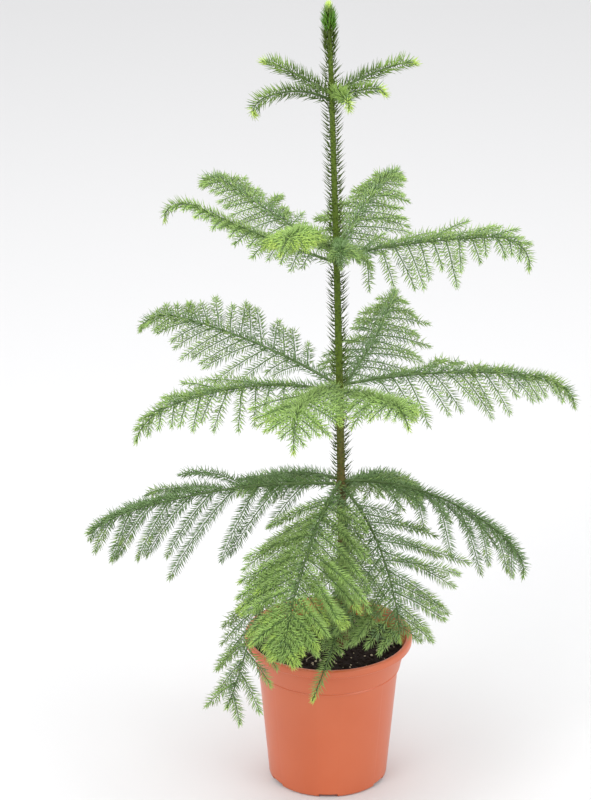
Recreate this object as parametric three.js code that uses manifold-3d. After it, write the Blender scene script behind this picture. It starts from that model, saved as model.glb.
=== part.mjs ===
// A young Norfolk Island pine in a plastic nursery pot, about one metre tall.
// Units are millimetres, +Z is up, and the origin is the middle of the pot's flat underside.
// Azimuth is counted anticlockwise from +X, seen from above; the side at 270 degrees is the front.
import * as THREE from "three";
import { mergeVertices } from "three/addons/utils/BufferGeometryUtils.js";
import Module from "manifold-3d";

const wasm = await Module();
wasm.setup();

// Driving dimensions of the pot and the soil in it.
const POT_HEIGHT = 192;
const FOOT_RADIUS = 70;
const BODY_RADIUS_LOW = 74;
const BODY_RADIUS_HIGH = 87.5;
const COLLAR_HEIGHT = 150;
const COLLAR_RADIUS_LOW = 89;
const COLLAR_RADIUS_HIGH = 96.5;
const LIP_RADIUS = 104;
const LIP_HEIGHT = 10;
const LIP_EDGE = 2.5;
const FOOT_ROUND_HEIGHT = 6;
const FOOT_ROUND_MIDDLE = [73.2, 2];
const POT_WALL = 2.2;
const POT_SIDES = 36;
const DRAIN_COUNT = 6;
const DRAIN_WIDTH = 24;
const DRAIN_HEIGHT = 4.5;
const DRAIN_DEPTH = 14;
const SOIL_HEIGHT = 174;

// Driving dimensions of the trunk.
const SEAT_GAP = 0.3;
const TRUNK_FOOT = SOIL_HEIGHT + SEAT_GAP;
const TRUNK_TOP = 952;
const TREE_TOP = 1014;
const TRUNK_FOOT_X = 18.5;
const TRUNK_TOP_X = -0.5;
const TRUNK_BOW = 2.5;
const TRUNK_RADIUS_LOW = 5.8;
const TRUNK_RADIUS_HIGH = 2.8;
const ROOT_FLARE = 0.55;
const ROOT_FLARE_HEIGHT = 22;
const TRUNK_SIDES = 8;
const TRUNK_STEPS = 40;
const TRUNK_NEEDLES = 0.3;
const WHORL_CLEARANCE = 22;

// Needles, larger than life here: each stands for a few of the real ones.
const NEEDLE_REACH = 12;
const NEEDLE_LEAN = 9;
const TOOTH_PITCH = 20;

// The whorls, from the lowest to the top one. Boughs leave the trunk together at one height.
// rise is a bough's angle above the level at the trunk, droop what it loses along its length,
// curl what its outer end bends down beyond that, sweep its turn to the left seen from above,
// lift raises both ranks of its twigs, and roll raises the left rank and lowers the right one.
// perch is how far above the others of its whorl a bough leaves, spread how far its twigs open from it.
// leftGive and rightGive let its twigs cross the half-way plane to a neighbour that hangs lower or higher.
// twigReach is the longest side twig, twigDroop its slant below the frond, twigSag how it hangs,
// twigTaper how the twigs shorten towards the end, and twigBase the share of their reach at the trunk;
// reach, sag, taper and base are a bough's own values for those.
const WHORLS = [
  {
    name: "lowest", height: 372, boughRadius: 1.6, bareLength: 50, twigSpacing: 24,
    twigReach: 72, twigDroop: 20, twigSag: 0.6, twigTaper: 2.2, twigBase: 0.4,
    boughs: [
      { azimuth: 282, length: 270, rise: -36, droop: 4, curl: 10, sweep: -46 },
    ],
  },
  {
    name: "lower", height: 397, boughRadius: 2.1, bareLength: 32, twigSpacing: 24,
    twigReach: 112, twigDroop: 20, twigSag: 0.9, twigTaper: 0.85, twigBase: 0.4,
    boughs: [
      { azimuth: 184, length: 316, rise: 4, droop: 26, curl: 18, perch: -4, roll: -30, lift: -5,
        spread: -14, sag: 0.65, reach: 126, base: 0.3, leftGive: 24 },
      { azimuth: 232, length: 312, rise: -12, droop: 60, curl: -28, sweep: 6, perch: -10, roll: 6,
        lift: 4, sag: 0.5, reach: 106, taper: 0.55, base: 0.1, leftGive: 20 },
      { azimuth: 254, length: 294, rise: 0, droop: 46, curl: 25, lift: 14, sag: 0.5, reach: 106,
        taper: 0.75, leftGive: 34, rightGive: 60 },
      { azimuth: 298, length: 236, rise: -8, droop: 42, curl: 36, sweep: -18, roll: 14, lift: 14,
        sag: 0.3, reach: 142, base: 0.15, leftGive: 55, rightGive: 40 },
      { azimuth: 346, length: 272, rise: 9, droop: 61, curl: 48, spread: -10, reach: 112, taper: 1.25,
        rightGive: 4 },
      { azimuth: 62, length: 236, rise: -7, droop: 34, reach: 62 },
      { azimuth: 126, length: 250, rise: -10, droop: 28, reach: 46 },
    ],
  },
  {
    name: "middle", height: 524, boughRadius: 2.0, bareLength: 28, twigSpacing: 21,
    twigReach: 86, twigDroop: 14, twigSag: 0.35, twigTaper: 1.0, twigBase: 0.4,
    boughs: [
      { azimuth: 149, length: 300, rise: 19, droop: 23, curl: 70, roll: -22, lift: 20 },
      { azimuth: 207, length: 288, rise: 23, droop: 42, curl: 60, roll: -8 },
      { azimuth: 251, length: 312, rise: 20, droop: 12, curl: 75, sweep: 17, reach: 94, base: 0.6,
        leftGive: 26 },
      { azimuth: 288, length: 258, rise: 23, droop: 11, curl: 62 },
      { azimuth: 2, length: 304, rise: 12, droop: 26, curl: 76, roll: 8, sag: 0.5, reach: 76 },
      { azimuth: 69, length: 300, rise: 5, droop: 3, curl: 10, sweep: 14, reach: 98 },
    ],
  },
  {
    name: "upper", height: 692, boughRadius: 1.8, bareLength: 24, twigSpacing: 19,
    twigReach: 62, twigDroop: 14, twigSag: 0.3, twigTaper: 1.0, twigBase: 0.6,
    boughs: [
      { azimuth: 134, length: 262, rise: 12, droop: 4, curl: 75, sweep: -7, roll: -12, lift: 6 },
      { azimuth: 190, length: 233, rise: 22, droop: -9, curl: 140, sweep: -8, roll: 2, reach: 50,
        leftGive: 28 },
      { azimuth: 253, length: 250, rise: 44, droop: 40, curl: 42, sag: 0.6, reach: 76, base: 0.9,
        leftGive: 10 },
      { azimuth: 271, length: 200, rise: 44, droop: 42, curl: 45, sag: 0.6, reach: 56, base: 0.8 },
      { azimuth: 332, length: 284, rise: 21, droop: 10, curl: 122, sweep: -6, roll: 24, reach: 74,
        rightGive: 34 },
      { azimuth: 78, length: 262, rise: 12, droop: 6, curl: 60, sweep: -14, reach: 76 },
    ],
  },
];

// The top whorl is this season's: short shoots with needles and no side twigs yet.
const TOP_WHORL = {
  name: "top", height: 895, boughRadius: 1.7,
  boughs: [
    { azimuth: 142, length: 103, rise: 16, droop: 8, curl: 25 },
    { azimuth: 200, length: 111, rise: 34, droop: 68, curl: 90 },
    { azimuth: 283, length: 90, rise: 25, droop: 30, curl: 50 },
    { azimuth: 322, length: 82, rise: 34, droop: 24, curl: 65 },
    { azimuth: 30, length: 116, rise: 20, droop: 18, curl: 32 },
  ],
};

const PLAIN_BOUGH = { curl: 0, sweep: 0, lift: 0, roll: 0, perch: 0, spread: 0, leftGive: 0, rightGive: 0 };

// Boughs: neighbours leave the trunk by turns a little higher and lower, each from a slight knuckle.
const WHORL_STAGGER = 4;
const KNUCKLE = 0.2;
const BOUGH_TAPER = 0.85;
const BOUGH_SIDES = 6;
const CURL_START = 0.72;
const PATH_STEPS = 24;

// Stems of the fronds and shoots, and the side twigs on them: their angles, lengths and room.
const TIP_RADIUS = 0.7;
const STEM_SIDES = 4;
const STEM_STEPS = 11;
const STEM_NEEDLES = 0.26;
const SHOOT_STEPS = 8;
const SHOOT_NEEDLES = 0.5;
const TUFT_STEPS = 5;
const TUFT_NEEDLES = 0.85;
const BARE_ROOT = 10;
const TWIG_SHARE = 0.7;
const TWIG_SPREAD_LOW = 66;
const TWIG_SPREAD_HIGH = 48;
const TWIG_JITTER = 9;
const BASE_GAIN = 2.0;
const FIRST_TWIG = 6;
const LAST_TWIG = 0.95;
const SHORTEST_TWIG = 14;
const SPACE_MARGIN = 13;
const POT_CLEARANCE = 22;

const BARK = new THREE.MeshStandardMaterial({ color: "#4c5a24", roughness: 0.8 });
const BOUGH_SKIN = new THREE.MeshStandardMaterial({ color: "#4a6a2c", roughness: 0.7 });
const OLD_NEEDLES = new THREE.MeshStandardMaterial({ color: "#4f7a45", roughness: 0.6 });
const YOUNG_NEEDLES = new THREE.MeshStandardMaterial({ color: "#8fbf45", roughness: 0.6 });
const POT_PLASTIC = new THREE.MeshStandardMaterial({ color: "#d2724f", roughness: 0.45 });
const PEAT = new THREE.MeshStandardMaterial({ color: "#2a1d18", roughness: 0.95 });

const UP = new THREE.Vector3(0, 0, 1);
const radians = THREE.MathUtils.degToRad;

// A repeatable number from 0 to 1 for a bough, a twig and a purpose.
function chance(bough, twig, purpose) {
  const wave = Math.sin(bough * 12.9898 + twig * 78.233 + purpose * 37.719) * 43758.5453;
  return wave - Math.floor(wave);
}

// The trunk's middle line: a straight lean with a slight bow to the right.
function trunkPoint(z) {
  const t = (z - TRUNK_FOOT) / (TRUNK_TOP - TRUNK_FOOT);
  const x = THREE.MathUtils.lerp(TRUNK_FOOT_X, TRUNK_TOP_X, t) + TRUNK_BOW * Math.sin(Math.PI * t);
  return new THREE.Vector3(x, 0, z);
}

// How much wider the trunk is than its even taper, near the soil.
function rootFlare(z) {
  return 1 + ROOT_FLARE * Math.exp(-(z - TRUNK_FOOT) / ROOT_FLARE_HEIGHT);
}

function trunkRadius(z) {
  const t = (z - TRUNK_FOOT) / (TRUNK_TOP - TRUNK_FOOT);
  return THREE.MathUtils.lerp(TRUNK_RADIUS_LOW, TRUNK_RADIUS_HIGH, t) * rootFlare(z);
}

// A path gives a point, a heading and the direction to its left at a share t of its length.
class TrunkPath {
  constructor(from, to) {
    this.from = from;
    this.length = to - from;
  }
  at(t) {
    const z = this.from + t * this.length;
    const heading = trunkPoint(z + 1).sub(trunkPoint(z - 1)).normalize();
    return { point: trunkPoint(z), heading, left: new THREE.Vector3(0, 1, 0) };
  }
}

// A bough's heading turns by a rule along its length, and its points are the sum of short steps.
class BoughPath {
  constructor(whorl, number) {
    Object.assign(this, { ...PLAIN_BOUGH, ...whorl.boughs[number] });
    this.rootHeading = this.headingAt(0).setZ(0).normalize();
    const height = whorl.height + this.perch + (number % 2 ? -WHORL_STAGGER : WHORL_STAGGER);
    const reach = trunkRadius(height) + SEAT_GAP;
    this.points = [trunkPoint(height).addScaledVector(this.rootHeading, reach)];
    for (let i = 0; i < PATH_STEPS; i++) {
      const step = this.headingAt((i + 0.5) / PATH_STEPS).multiplyScalar(this.length / PATH_STEPS);
      this.points.push(this.points[i].clone().add(step));
    }
  }
  headingAt(t) {
    const curled = Math.max(0, (t - CURL_START) / (1 - CURL_START));
    const rise = radians(this.rise - this.droop * t - this.curl * curled * curled);
    const azimuth = radians(this.azimuth + this.sweep * t);
    return new THREE.Vector3(
      Math.cos(rise) * Math.cos(azimuth), Math.cos(rise) * Math.sin(azimuth), Math.sin(rise));
  }
  at(t) {
    const place = THREE.MathUtils.clamp(t, 0, 1) * PATH_STEPS;
    const step = Math.min(Math.floor(place), PATH_STEPS - 1);
    const point = this.points[step].clone().lerp(this.points[step + 1], place - step);
    const azimuth = radians(this.azimuth + this.sweep * t);
    const left = new THREE.Vector3(-Math.sin(azimuth), Math.cos(azimuth), 0);
    return { point, heading: this.headingAt(t), left };
  }
}

// A stretch of a longer path, from one share of its length to another.
class Stretch {
  constructor(path, from, to) {
    Object.assign(this, { path, from, to });
    this.length = path.length * (to - from);
    this.rootHeading = from === 0 ? path.rootHeading : null;
  }
  at(t) {
    return this.path.at(THREE.MathUtils.lerp(this.from, this.to, t));
  }
}

// A side twig leaves straight and sags by the square of the way along it.
class TwigPath {
  constructor(root, direction, length, sag) {
    Object.assign(this, { root, direction, length, sag });
    this.left = new THREE.Vector3().crossVectors(UP, direction).normalize();
  }
  at(t) {
    const point = this.root.clone().addScaledVector(this.direction, this.length * t);
    point.z -= 0.5 * this.sag * this.length * t * t;
    const heading = this.direction.clone().addScaledVector(UP, -this.sag * t).normalize();
    return { point, heading, left: this.left };
  }
}

// A straight tapered limb along +Y from 0 to its length, to be bent along a path.
function straightLimb(length, rootRadius, tipRadius, sides, steps) {
  const limb = new THREE.CylinderGeometry(tipRadius, rootRadius, length, sides, steps);
  limb.deleteAttribute("normal");
  limb.deleteAttribute("uv");
  return limb.translate(0, length / 2, 0);
}

// Draws out chosen side faces of a straight limb into needles that lean towards its tip.
function withNeedles(limb, bears, reach, lean) {
  const corners = limb.getAttribute("position");
  const index = limb.getIndex();
  const sideEnd = limb.groups[0].count;
  const triangles = [];
  for (let i = 0; i < index.count; i += 3) {
    const [a, b, c] = [0, 1, 2].map((k) =>
      new THREE.Vector3().fromBufferAttribute(corners, index.getX(i + k)));
    const middle = a.clone().add(b).add(c).divideScalar(3);
    if (i >= sideEnd || !bears(i / 3, middle)) {
      triangles.push(a, b, c);
      continue;
    }
    const point = new THREE.Vector3(middle.x, 0, middle.z).setLength(reach).add(middle);
    point.y += lean;
    triangles.push(a, b, point, b, c, point, c, a, point);
  }
  return new THREE.BufferGeometry().setFromPoints(triangles);
}

// Bends a straight limb along a path, with its section scaled by swell and its root cut as the path says.
function bentAlong(limb, path, swell = () => 1) {
  const position = limb.getAttribute("position");
  for (let i = 0; i < position.count; i++) {
    const along = position.getY(i);
    const t = along / path.length;
    const { point, heading, left } = path.at(Math.min(t, 1));
    if (path.rootHeading && along < SEAT_GAP) heading.copy(path.rootHeading);
    const down = new THREE.Vector3().crossVectors(left, heading);
    point.addScaledVector(left, position.getX(i) * swell(t));
    point.addScaledVector(down, position.getZ(i) * swell(t));
    point.addScaledVector(heading, Math.max(0, along - path.length));
    position.setXYZ(i, point.x, point.y, point.z);
  }
  return limb;
}

// A closed geometry as a solid that can be joined and cut.
function solidOf(geometry) {
  const bare = new THREE.BufferGeometry().setAttribute("position", geometry.getAttribute("position"));
  if (geometry.getIndex()) bare.setIndex(geometry.getIndex());
  const merged = mergeVertices(bare, 1e-4);
  return new wasm.Manifold(new wasm.Mesh({
    numProp: 3,
    vertProperties: merged.getAttribute("position").array,
    triVerts: new Uint32Array(merged.getIndex().array),
  }));
}

// The largest body of a solid as a geometry, so that scraps and sealed hollows are left out.
function geometryOf(solid) {
  const [body] = solid.decompose().sort((a, b) => b.volume() - a.volume());
  const { vertProperties, triVerts } = body.getMesh();
  return new THREE.BufferGeometry()
    .setAttribute("position", new THREE.BufferAttribute(vertProperties, 3))
    .setIndex(new THREE.BufferAttribute(triVerts, 1));
}

const tree = new THREE.Group();

function addPiece(name, geometry, material) {
  const piece = new THREE.Mesh(geometry, material);
  piece.name = name;
  tree.add(piece);
}

function lathe(profile, sides) {
  const turned = new THREE.LatheGeometry(profile.map(([r, z]) => new THREE.Vector2(r, z)), sides);
  return turned.rotateX(Math.PI / 2);
}

// The pot: a thin tapered wall with a flared collar, a rolled lip and drain notches round its foot.
function makePot() {
  const underLip = POT_HEIGHT - LIP_HEIGHT;
  const profile = [
    [0, 0], [FOOT_RADIUS, 0], FOOT_ROUND_MIDDLE, [BODY_RADIUS_LOW, FOOT_ROUND_HEIGHT],
    [BODY_RADIUS_HIGH, COLLAR_HEIGHT - 1], [COLLAR_RADIUS_LOW, COLLAR_HEIGHT + 1],
    [COLLAR_RADIUS_HIGH, underLip - 1], [LIP_RADIUS, underLip],
    [LIP_RADIUS, POT_HEIGHT - LIP_EDGE], [LIP_RADIUS - LIP_EDGE, POT_HEIGHT],
    [COLLAR_RADIUS_HIGH + LIP_EDGE / 2, POT_HEIGHT], [potInside(underLip), underLip],
    [potInside(COLLAR_HEIGHT), COLLAR_HEIGHT], [potInside(FOOT_ROUND_HEIGHT), FOOT_ROUND_HEIGHT],
    [FOOT_RADIUS, POT_WALL], [0, POT_WALL],
  ];
  let pot = solidOf(lathe(profile, POT_SIDES));
  for (let i = 0; i < DRAIN_COUNT; i++) {
    const notch = new THREE.BoxGeometry(DRAIN_WIDTH, DRAIN_DEPTH, 2 * DRAIN_HEIGHT);
    notch.translate(0, -BODY_RADIUS_LOW, 0).rotateZ((2 * Math.PI * i) / DRAIN_COUNT);
    pot = pot.subtract(solidOf(notch));
  }
  addPiece("pot", geometryOf(pot), POT_PLASTIC);
}

// The inner radius of the pot at a height between its rounded foot and its lip.
function potInside(z) {
  const inCollar = z > COLLAR_HEIGHT;
  const t = inCollar
    ? (z - COLLAR_HEIGHT) / (POT_HEIGHT - LIP_HEIGHT - COLLAR_HEIGHT)
    : (z - FOOT_ROUND_HEIGHT) / (COLLAR_HEIGHT - FOOT_ROUND_HEIGHT);
  const outside = inCollar
    ? THREE.MathUtils.lerp(COLLAR_RADIUS_LOW, COLLAR_RADIUS_HIGH, t)
    : THREE.MathUtils.lerp(BODY_RADIUS_LOW, COLLAR_RADIUS_LOW, t);
  return outside - POT_WALL;
}

// The soil: what fills the pot, clear of its wall, with a level top that the trunk stands on.
function makeSoil() {
  const heights = [2 * FOOT_ROUND_HEIGHT, COLLAR_HEIGHT, SOIL_HEIGHT];
  const side = heights.map((z) => [potInside(z) - 2 * SEAT_GAP, z]);
  const drainInside = BODY_RADIUS_LOW - DRAIN_DEPTH / 2;
  const profile = [
    [0, POT_WALL + SEAT_GAP], [drainInside - DRAIN_HEIGHT, POT_WALL + SEAT_GAP],
    [drainInside, DRAIN_HEIGHT + 1], ...side, [0, SOIL_HEIGHT],
  ];
  addPiece("soil", lathe(profile, POT_SIDES), PEAT);
}

// The trunk, from a flat cut on the soil up to the leader, with needles where no bough leaves it.
function makeTrunk() {
  const path = new TrunkPath(TRUNK_FOOT, TRUNK_TOP);
  const limb = straightLimb(path.length, TRUNK_RADIUS_LOW, TRUNK_RADIUS_HIGH, TRUNK_SIDES, TRUNK_STEPS);
  const whorlHeights = [...WHORLS, TOP_WHORL].map((whorl) => whorl.height);
  const bears = (face, middle) => {
    const z = TRUNK_FOOT + middle.y;
    const clear = whorlHeights.every((height) => Math.abs(z - height) > WHORL_CLEARANCE);
    const leafy = z > WHORLS[1].height && z < TRUNK_TOP - NEEDLE_LEAN;
    return clear && leafy && chance(0, face, 1) < TRUNK_NEEDLES;
  };
  const needled = withNeedles(limb, bears, NEEDLE_REACH, NEEDLE_LEAN);
  addPiece("trunk", bentAlong(needled, path, (t) => rootFlare(TRUNK_FOOT + t * path.length)), BARK);
}

// A shoot with needles all along it and no twigs.
function makeShoot(name, path, rootRadius, steps, share, seed) {
  const limb = straightLimb(path.length, rootRadius, TIP_RADIUS, STEM_SIDES, steps);
  const bears = (face, middle) => middle.y > BARE_ROOT && chance(seed, face, 2) < share;
  const needled = withNeedles(limb, bears, NEEDLE_REACH, NEEDLE_LEAN);
  addPiece(name, bentAlong(needled, path), YOUNG_NEEDLES);
}

// Whether a twig keeps to its bough's own space: between its neighbours and clear of the pot.
function keepsSpace(twig, fences) {
  return [0.3, 0.5, 0.75, 1].every((t) => {
    const { point } = twig.at(t);
    const fromAxis = point.clone().sub(trunkPoint(point.z)).setZ(0);
    const overPot = Math.hypot(point.x, point.y) < LIP_RADIUS + POT_CLEARANCE;
    return fences.every(({ inward, margin }) => fromAxis.dot(inward) > margin)
      && point.z > (overPot ? POT_HEIGHT + POT_CLEARANCE : POT_CLEARANCE);
  });
}

// The two upright planes half way to the boughs on either side, and how far inside them twigs stay.
function fencesOf(whorl, path) {
  const turns = whorl.boughs
    .map(({ azimuth }) => (azimuth - path.azimuth + 360) % 360)
    .filter((turn) => turn > 0);
  if (turns.length === 0) return [];
  const left = path.azimuth + Math.min(...turns) / 2;
  const right = path.azimuth + Math.max(...turns) / 2 + 180;
  const towards = (azimuth) => new THREE.Vector3(Math.cos(radians(azimuth)), Math.sin(radians(azimuth)), 0);
  return [
    { inward: towards(left - 90), margin: SPACE_MARGIN - path.leftGive },
    { inward: towards(right + 90), margin: SPACE_MARGIN - path.rightGive },
  ];
}

// The path of one side twig, shortened until it keeps to its space, or nothing if it can't.
function twigPath(whorl, path, fences, seed, number, t) {
  const { point, heading, left } = path.at(t);
  const side = number % 2 ? -1 : 1;
  const up = new THREE.Vector3().crossVectors(heading, left);
  const jitter = (purpose) => (2 * chance(seed, number, purpose) - 1) * TWIG_JITTER;
  const opening = THREE.MathUtils.lerp(TWIG_SPREAD_LOW, TWIG_SPREAD_HIGH, t) + path.spread;
  const spread = radians(opening + jitter(3));
  const slant = radians(side * path.roll + path.lift - whorl.twigDroop + jitter(4));
  const direction = heading.clone().multiplyScalar(Math.cos(spread))
    .addScaledVector(left, side * Math.sin(spread) * Math.cos(slant))
    .addScaledVector(up, Math.sin(spread) * Math.sin(slant));
  const outline = (1 - t * t) ** (path.taper ?? whorl.twigTaper)
    * Math.min(1, (path.base ?? whorl.twigBase) + BASE_GAIN * t);
  const full = (path.reach ?? whorl.twigReach) * outline * (0.88 + 0.24 * chance(seed, number, 5));
  for (let share = 1; share * full > SHORTEST_TWIG; share -= 0.1) {
    const twig = new TwigPath(point, direction, share * full, path.sag ?? whorl.twigSag);
    if (keepsSpace(twig, fences)) return twig;
  }
  return null;
}

// One twig: a three-sided tapering core, bare where it leaves the stem and then toothed on both flanks.
function twigSolid(path, radius) {
  const steps = Math.max(2, Math.round(path.length / TOOTH_PITCH));
  const core = straightLimb(path.length, radius, 0, 3, steps);
  const bears = (face, middle) => middle.y > path.length / steps && middle.z > -0.1 * radius;
  return solidOf(bentAlong(withNeedles(core, bears, NEEDLE_REACH, NEEDLE_LEAN), path));
}

// A bough and the frond of foliage that it carries: a bare limb, then a stem with side twigs.
function makeBough(whorl, number, seed) {
  const path = new BoughPath(whorl, number);
  const bareShare = whorl.bareLength / path.length;
  const tipRadius = BOUGH_TAPER * whorl.boughRadius;
  const limb = straightLimb(whorl.bareLength, whorl.boughRadius, tipRadius, BOUGH_SIDES, 2);
  const bare = bentAlong(limb, new Stretch(path, 0, bareShare), (t) => 1 + KNUCKLE * (1 - t) ** 2);
  addPiece(`${whorl.name}_bough_${number + 1}`, bare, BOUGH_SKIN);

  const stem = new Stretch(path, bareShare + SEAT_GAP / path.length, 1);
  const core = straightLimb(stem.length, tipRadius, TIP_RADIUS, STEM_SIDES, STEM_STEPS);
  const bears = (face, middle) => middle.y > BARE_ROOT && chance(seed, face, 2) < STEM_NEEDLES;
  let frond = solidOf(bentAlong(withNeedles(core, bears, NEEDLE_REACH, NEEDLE_LEAN), stem));
  const fences = fencesOf(whorl, path);
  for (let twig = 0; ; twig++) {
    const t = bareShare + (FIRST_TWIG + twig * whorl.twigSpacing) / path.length;
    if (t > LAST_TWIG) break;
    const side = twigPath(whorl, path, fences, seed, twig, t);
    const stemRadius = THREE.MathUtils.lerp(whorl.boughRadius, TIP_RADIUS, t);
    if (side) frond = frond.add(twigSolid(side, TWIG_SHARE * stemRadius));
  }
  addPiece(`${whorl.name}_foliage_${number + 1}`, geometryOf(frond), OLD_NEEDLES);
}

makePot();
makeSoil();
makeTrunk();
WHORLS.forEach((whorl, level) =>
  whorl.boughs.forEach((_, number) => makeBough(whorl, number, 10 * level + number + 1)));
TOP_WHORL.boughs.forEach((_, number) =>
  makeShoot(`top_shoot_${number + 1}`, new BoughPath(TOP_WHORL, number), TOP_WHORL.boughRadius,
    SHOOT_STEPS, SHOOT_NEEDLES, 40 + number));
makeShoot("leader_tuft", new TrunkPath(TRUNK_TOP + SEAT_GAP, TREE_TOP - NEEDLE_LEAN),
  TRUNK_RADIUS_HIGH, TUFT_STEPS, TUFT_NEEDLES, 50);

export default tree;
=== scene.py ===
# A young Norfolk Island pine in its nursery pot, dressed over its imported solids. Sizes are in millimetres
# and angles in degrees, unless a comment says otherwise.
import math

import bmesh
import bpy
import numpy as np
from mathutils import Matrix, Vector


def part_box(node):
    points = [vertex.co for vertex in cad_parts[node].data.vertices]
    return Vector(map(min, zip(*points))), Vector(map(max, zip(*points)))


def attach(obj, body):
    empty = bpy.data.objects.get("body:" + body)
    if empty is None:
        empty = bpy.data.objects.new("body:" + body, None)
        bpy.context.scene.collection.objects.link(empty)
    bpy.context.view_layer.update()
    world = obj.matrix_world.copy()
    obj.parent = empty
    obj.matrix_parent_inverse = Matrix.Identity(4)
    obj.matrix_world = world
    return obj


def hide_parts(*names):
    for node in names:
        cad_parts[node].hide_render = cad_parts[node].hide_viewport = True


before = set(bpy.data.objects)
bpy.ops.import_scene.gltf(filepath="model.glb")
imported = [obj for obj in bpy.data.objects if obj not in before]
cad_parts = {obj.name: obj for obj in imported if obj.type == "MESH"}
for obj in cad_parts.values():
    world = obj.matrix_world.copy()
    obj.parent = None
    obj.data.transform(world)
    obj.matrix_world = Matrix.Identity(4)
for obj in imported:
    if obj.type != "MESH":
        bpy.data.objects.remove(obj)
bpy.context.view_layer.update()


# The pot: a thin nursery pot of terracotta-coloured polypropylene, injection moulded in one piece.
# It has a tapered body, a flared collar over a fine ledge and groove, a rolled lip, and drain notches
# cut into its foot.
MM = 0.001
pot_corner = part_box("pot")[1]
LIP_RADIUS = round(pot_corner[0] / MM, 1)
POT_TOP = round(pot_corner[2] / MM, 1)
# Each point is a radius, a height and how far its corner is rounded.
POT_PROFILE = np.array([
    # The underside and the foot; the two close points let a drain notch end in an upright wall.
    (0, 0, 0.1), (66.7, 0, 0.05), (67, 0, 0.05), (73.5, 0, 4.0),
    # The body, the ledge that ends it, and the groove over the ledge.
    (87.0, 149.4, 0.4), (89.3, 150.0, 0.3), (89.6, 151.2, 0.3), (88.6, 152.4, 0.3), (90.1, 153.4, 0.4),
    # The collar and the rolled lip.
    (96.4, 181.2, 1.6), (LIP_RADIUS, 181.8, 2.2), (LIP_RADIUS, POT_TOP, 3.0), (97.9, POT_TOP, 2.4),
    # The inside, down to the floor.
    (94.3, 181.5, 3.0), (86.8, 150, 3.0), (71.8, 6, 2.0), (70, 2.2, 1.0), (0, 2.2, 0.1),
])
POT_COLUMNS = 240
POT_CREASE = 40
DRAIN_COUNT = 6
DRAIN_FIRST = 270
DRAIN_HALF_ANGLE = 9.3
DRAIN_SIDE = 0.03
DRAIN_HEIGHT = 4.5
DRAIN_INSIDE = 66.9
# In metres: points within the gap are merged, and edges shorter than a sliver are taken out.
WELD_GAP = 1e-6
SLIVER = 1e-7


def linear(colour):
    """An sRGB hex colour as linear red, green, blue and alpha: each channel through the sRGB curve."""
    srgb = np.array([int(colour[i:i + 2], 16) for i in (1, 3, 5)]) / 255
    low, high = srgb / 12.92, ((srgb + 0.055) / 1.055) ** 2.4
    return (*np.where(srgb <= 0.04045, low, high), 1.0)


def add_node(tree, kind, inputs=None, links=None, **settings):
    """Adds a node, sets its settings and its inputs' values, and links inputs to (node, output)."""
    node = tree.nodes.new(kind)
    for name, value in settings.items():
        setattr(node, name, value)
    for name, value in (inputs or {}).items():
        node.inputs[name].default_value = value
    for name, (source, output) in (links or {}).items():
        tree.links.new(source.outputs[output], node.inputs[name])
    return node


def start_material(name, finish):
    """A new material whose shader has the values of its finish that are the same all over. Gives the
    material, its node tree, its shader, and the node that knows the place on the piece."""
    material = bpy.data.materials.new(name)
    material.use_nodes = True
    tree = material.node_tree
    skin = tree.nodes["Principled BSDF"]
    for socket, value in finish.items():
        skin.inputs[socket].default_value = value
    return material, tree, skin, add_node(tree, "ShaderNodeTexCoord")


def rounded(profile, steps=5):
    """A profile of (radius, height, rounding): each corner is cut back by its rounding along both
    sides, and the cut is bridged by a parabola that has the corner as its control point."""
    corner = profile[:, :2]
    before, after = np.roll(corner, 1, 0) - corner, np.roll(corner, -1, 0) - corner
    before[0], after[-1] = after[0], before[-1]
    cut = profile[:, 2:]
    start = corner + before / np.linalg.norm(before, axis=1, keepdims=True) * cut
    end = corner + after / np.linalg.norm(after, axis=1, keepdims=True) * cut
    start[0], end[-1] = corner[0], corner[-1]
    s = np.linspace(0, 1, steps)[None, :, None]
    curve = (1 - s) ** 2 * start[:, None] + 2 * s * (1 - s) * corner[:, None] + s ** 2 * end[:, None]
    return curve.reshape(-1, 2)


def ring_faces(rows, columns):
    """Quads of a grid of rows by columns whose columns close into rings; rows run outwards or upwards."""
    row, column = np.meshgrid(np.arange(rows - 1), np.arange(columns), indexing="ij")
    here, beside = row * columns + column, row * columns + (column + 1) % columns
    return np.stack([here, beside, beside + columns, here + columns], -1).reshape(-1, 4)


def add_piece(name, points, faces, material, nodes, weld=False, crease=None):
    """A piece of the plant at its place in the frame: millimetre points, and arrays of faces with one
    number of corners each. weld merges the points of poles, and crease keeps sharper edges crisp."""
    mesh = bpy.data.meshes.new(name)
    corners = np.concatenate([part.ravel() for part in faces])
    sizes = np.concatenate([np.full(len(part), part.shape[1]) for part in faces])
    mesh.vertices.add(len(points))
    mesh.vertices.foreach_set("co", np.ascontiguousarray(points * MM, np.float32).ravel())
    mesh.loops.add(len(corners))
    mesh.loops.foreach_set("vertex_index", corners.astype(np.int32))
    mesh.polygons.add(len(sizes))
    mesh.polygons.foreach_set("loop_start", (np.cumsum(sizes) - sizes).astype(np.int32))
    mesh.update(calc_edges=True)
    if weld:
        shell = bmesh.new()
        shell.from_mesh(mesh)
        bmesh.ops.remove_doubles(shell, verts=shell.verts, dist=WELD_GAP)
        bmesh.ops.dissolve_degenerate(shell, edges=shell.edges, dist=SLIVER)
        shell.to_mesh(mesh)
        shell.free()
    mesh.shade_smooth()
    if crease is not None:
        mesh.set_sharp_from_angle(angle=math.radians(crease))
    mesh.materials.append(material)
    piece = bpy.data.objects.new(name, mesh)
    bpy.context.scene.collection.objects.link(piece)
    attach(piece, "root")
    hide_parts(*nodes)


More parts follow.
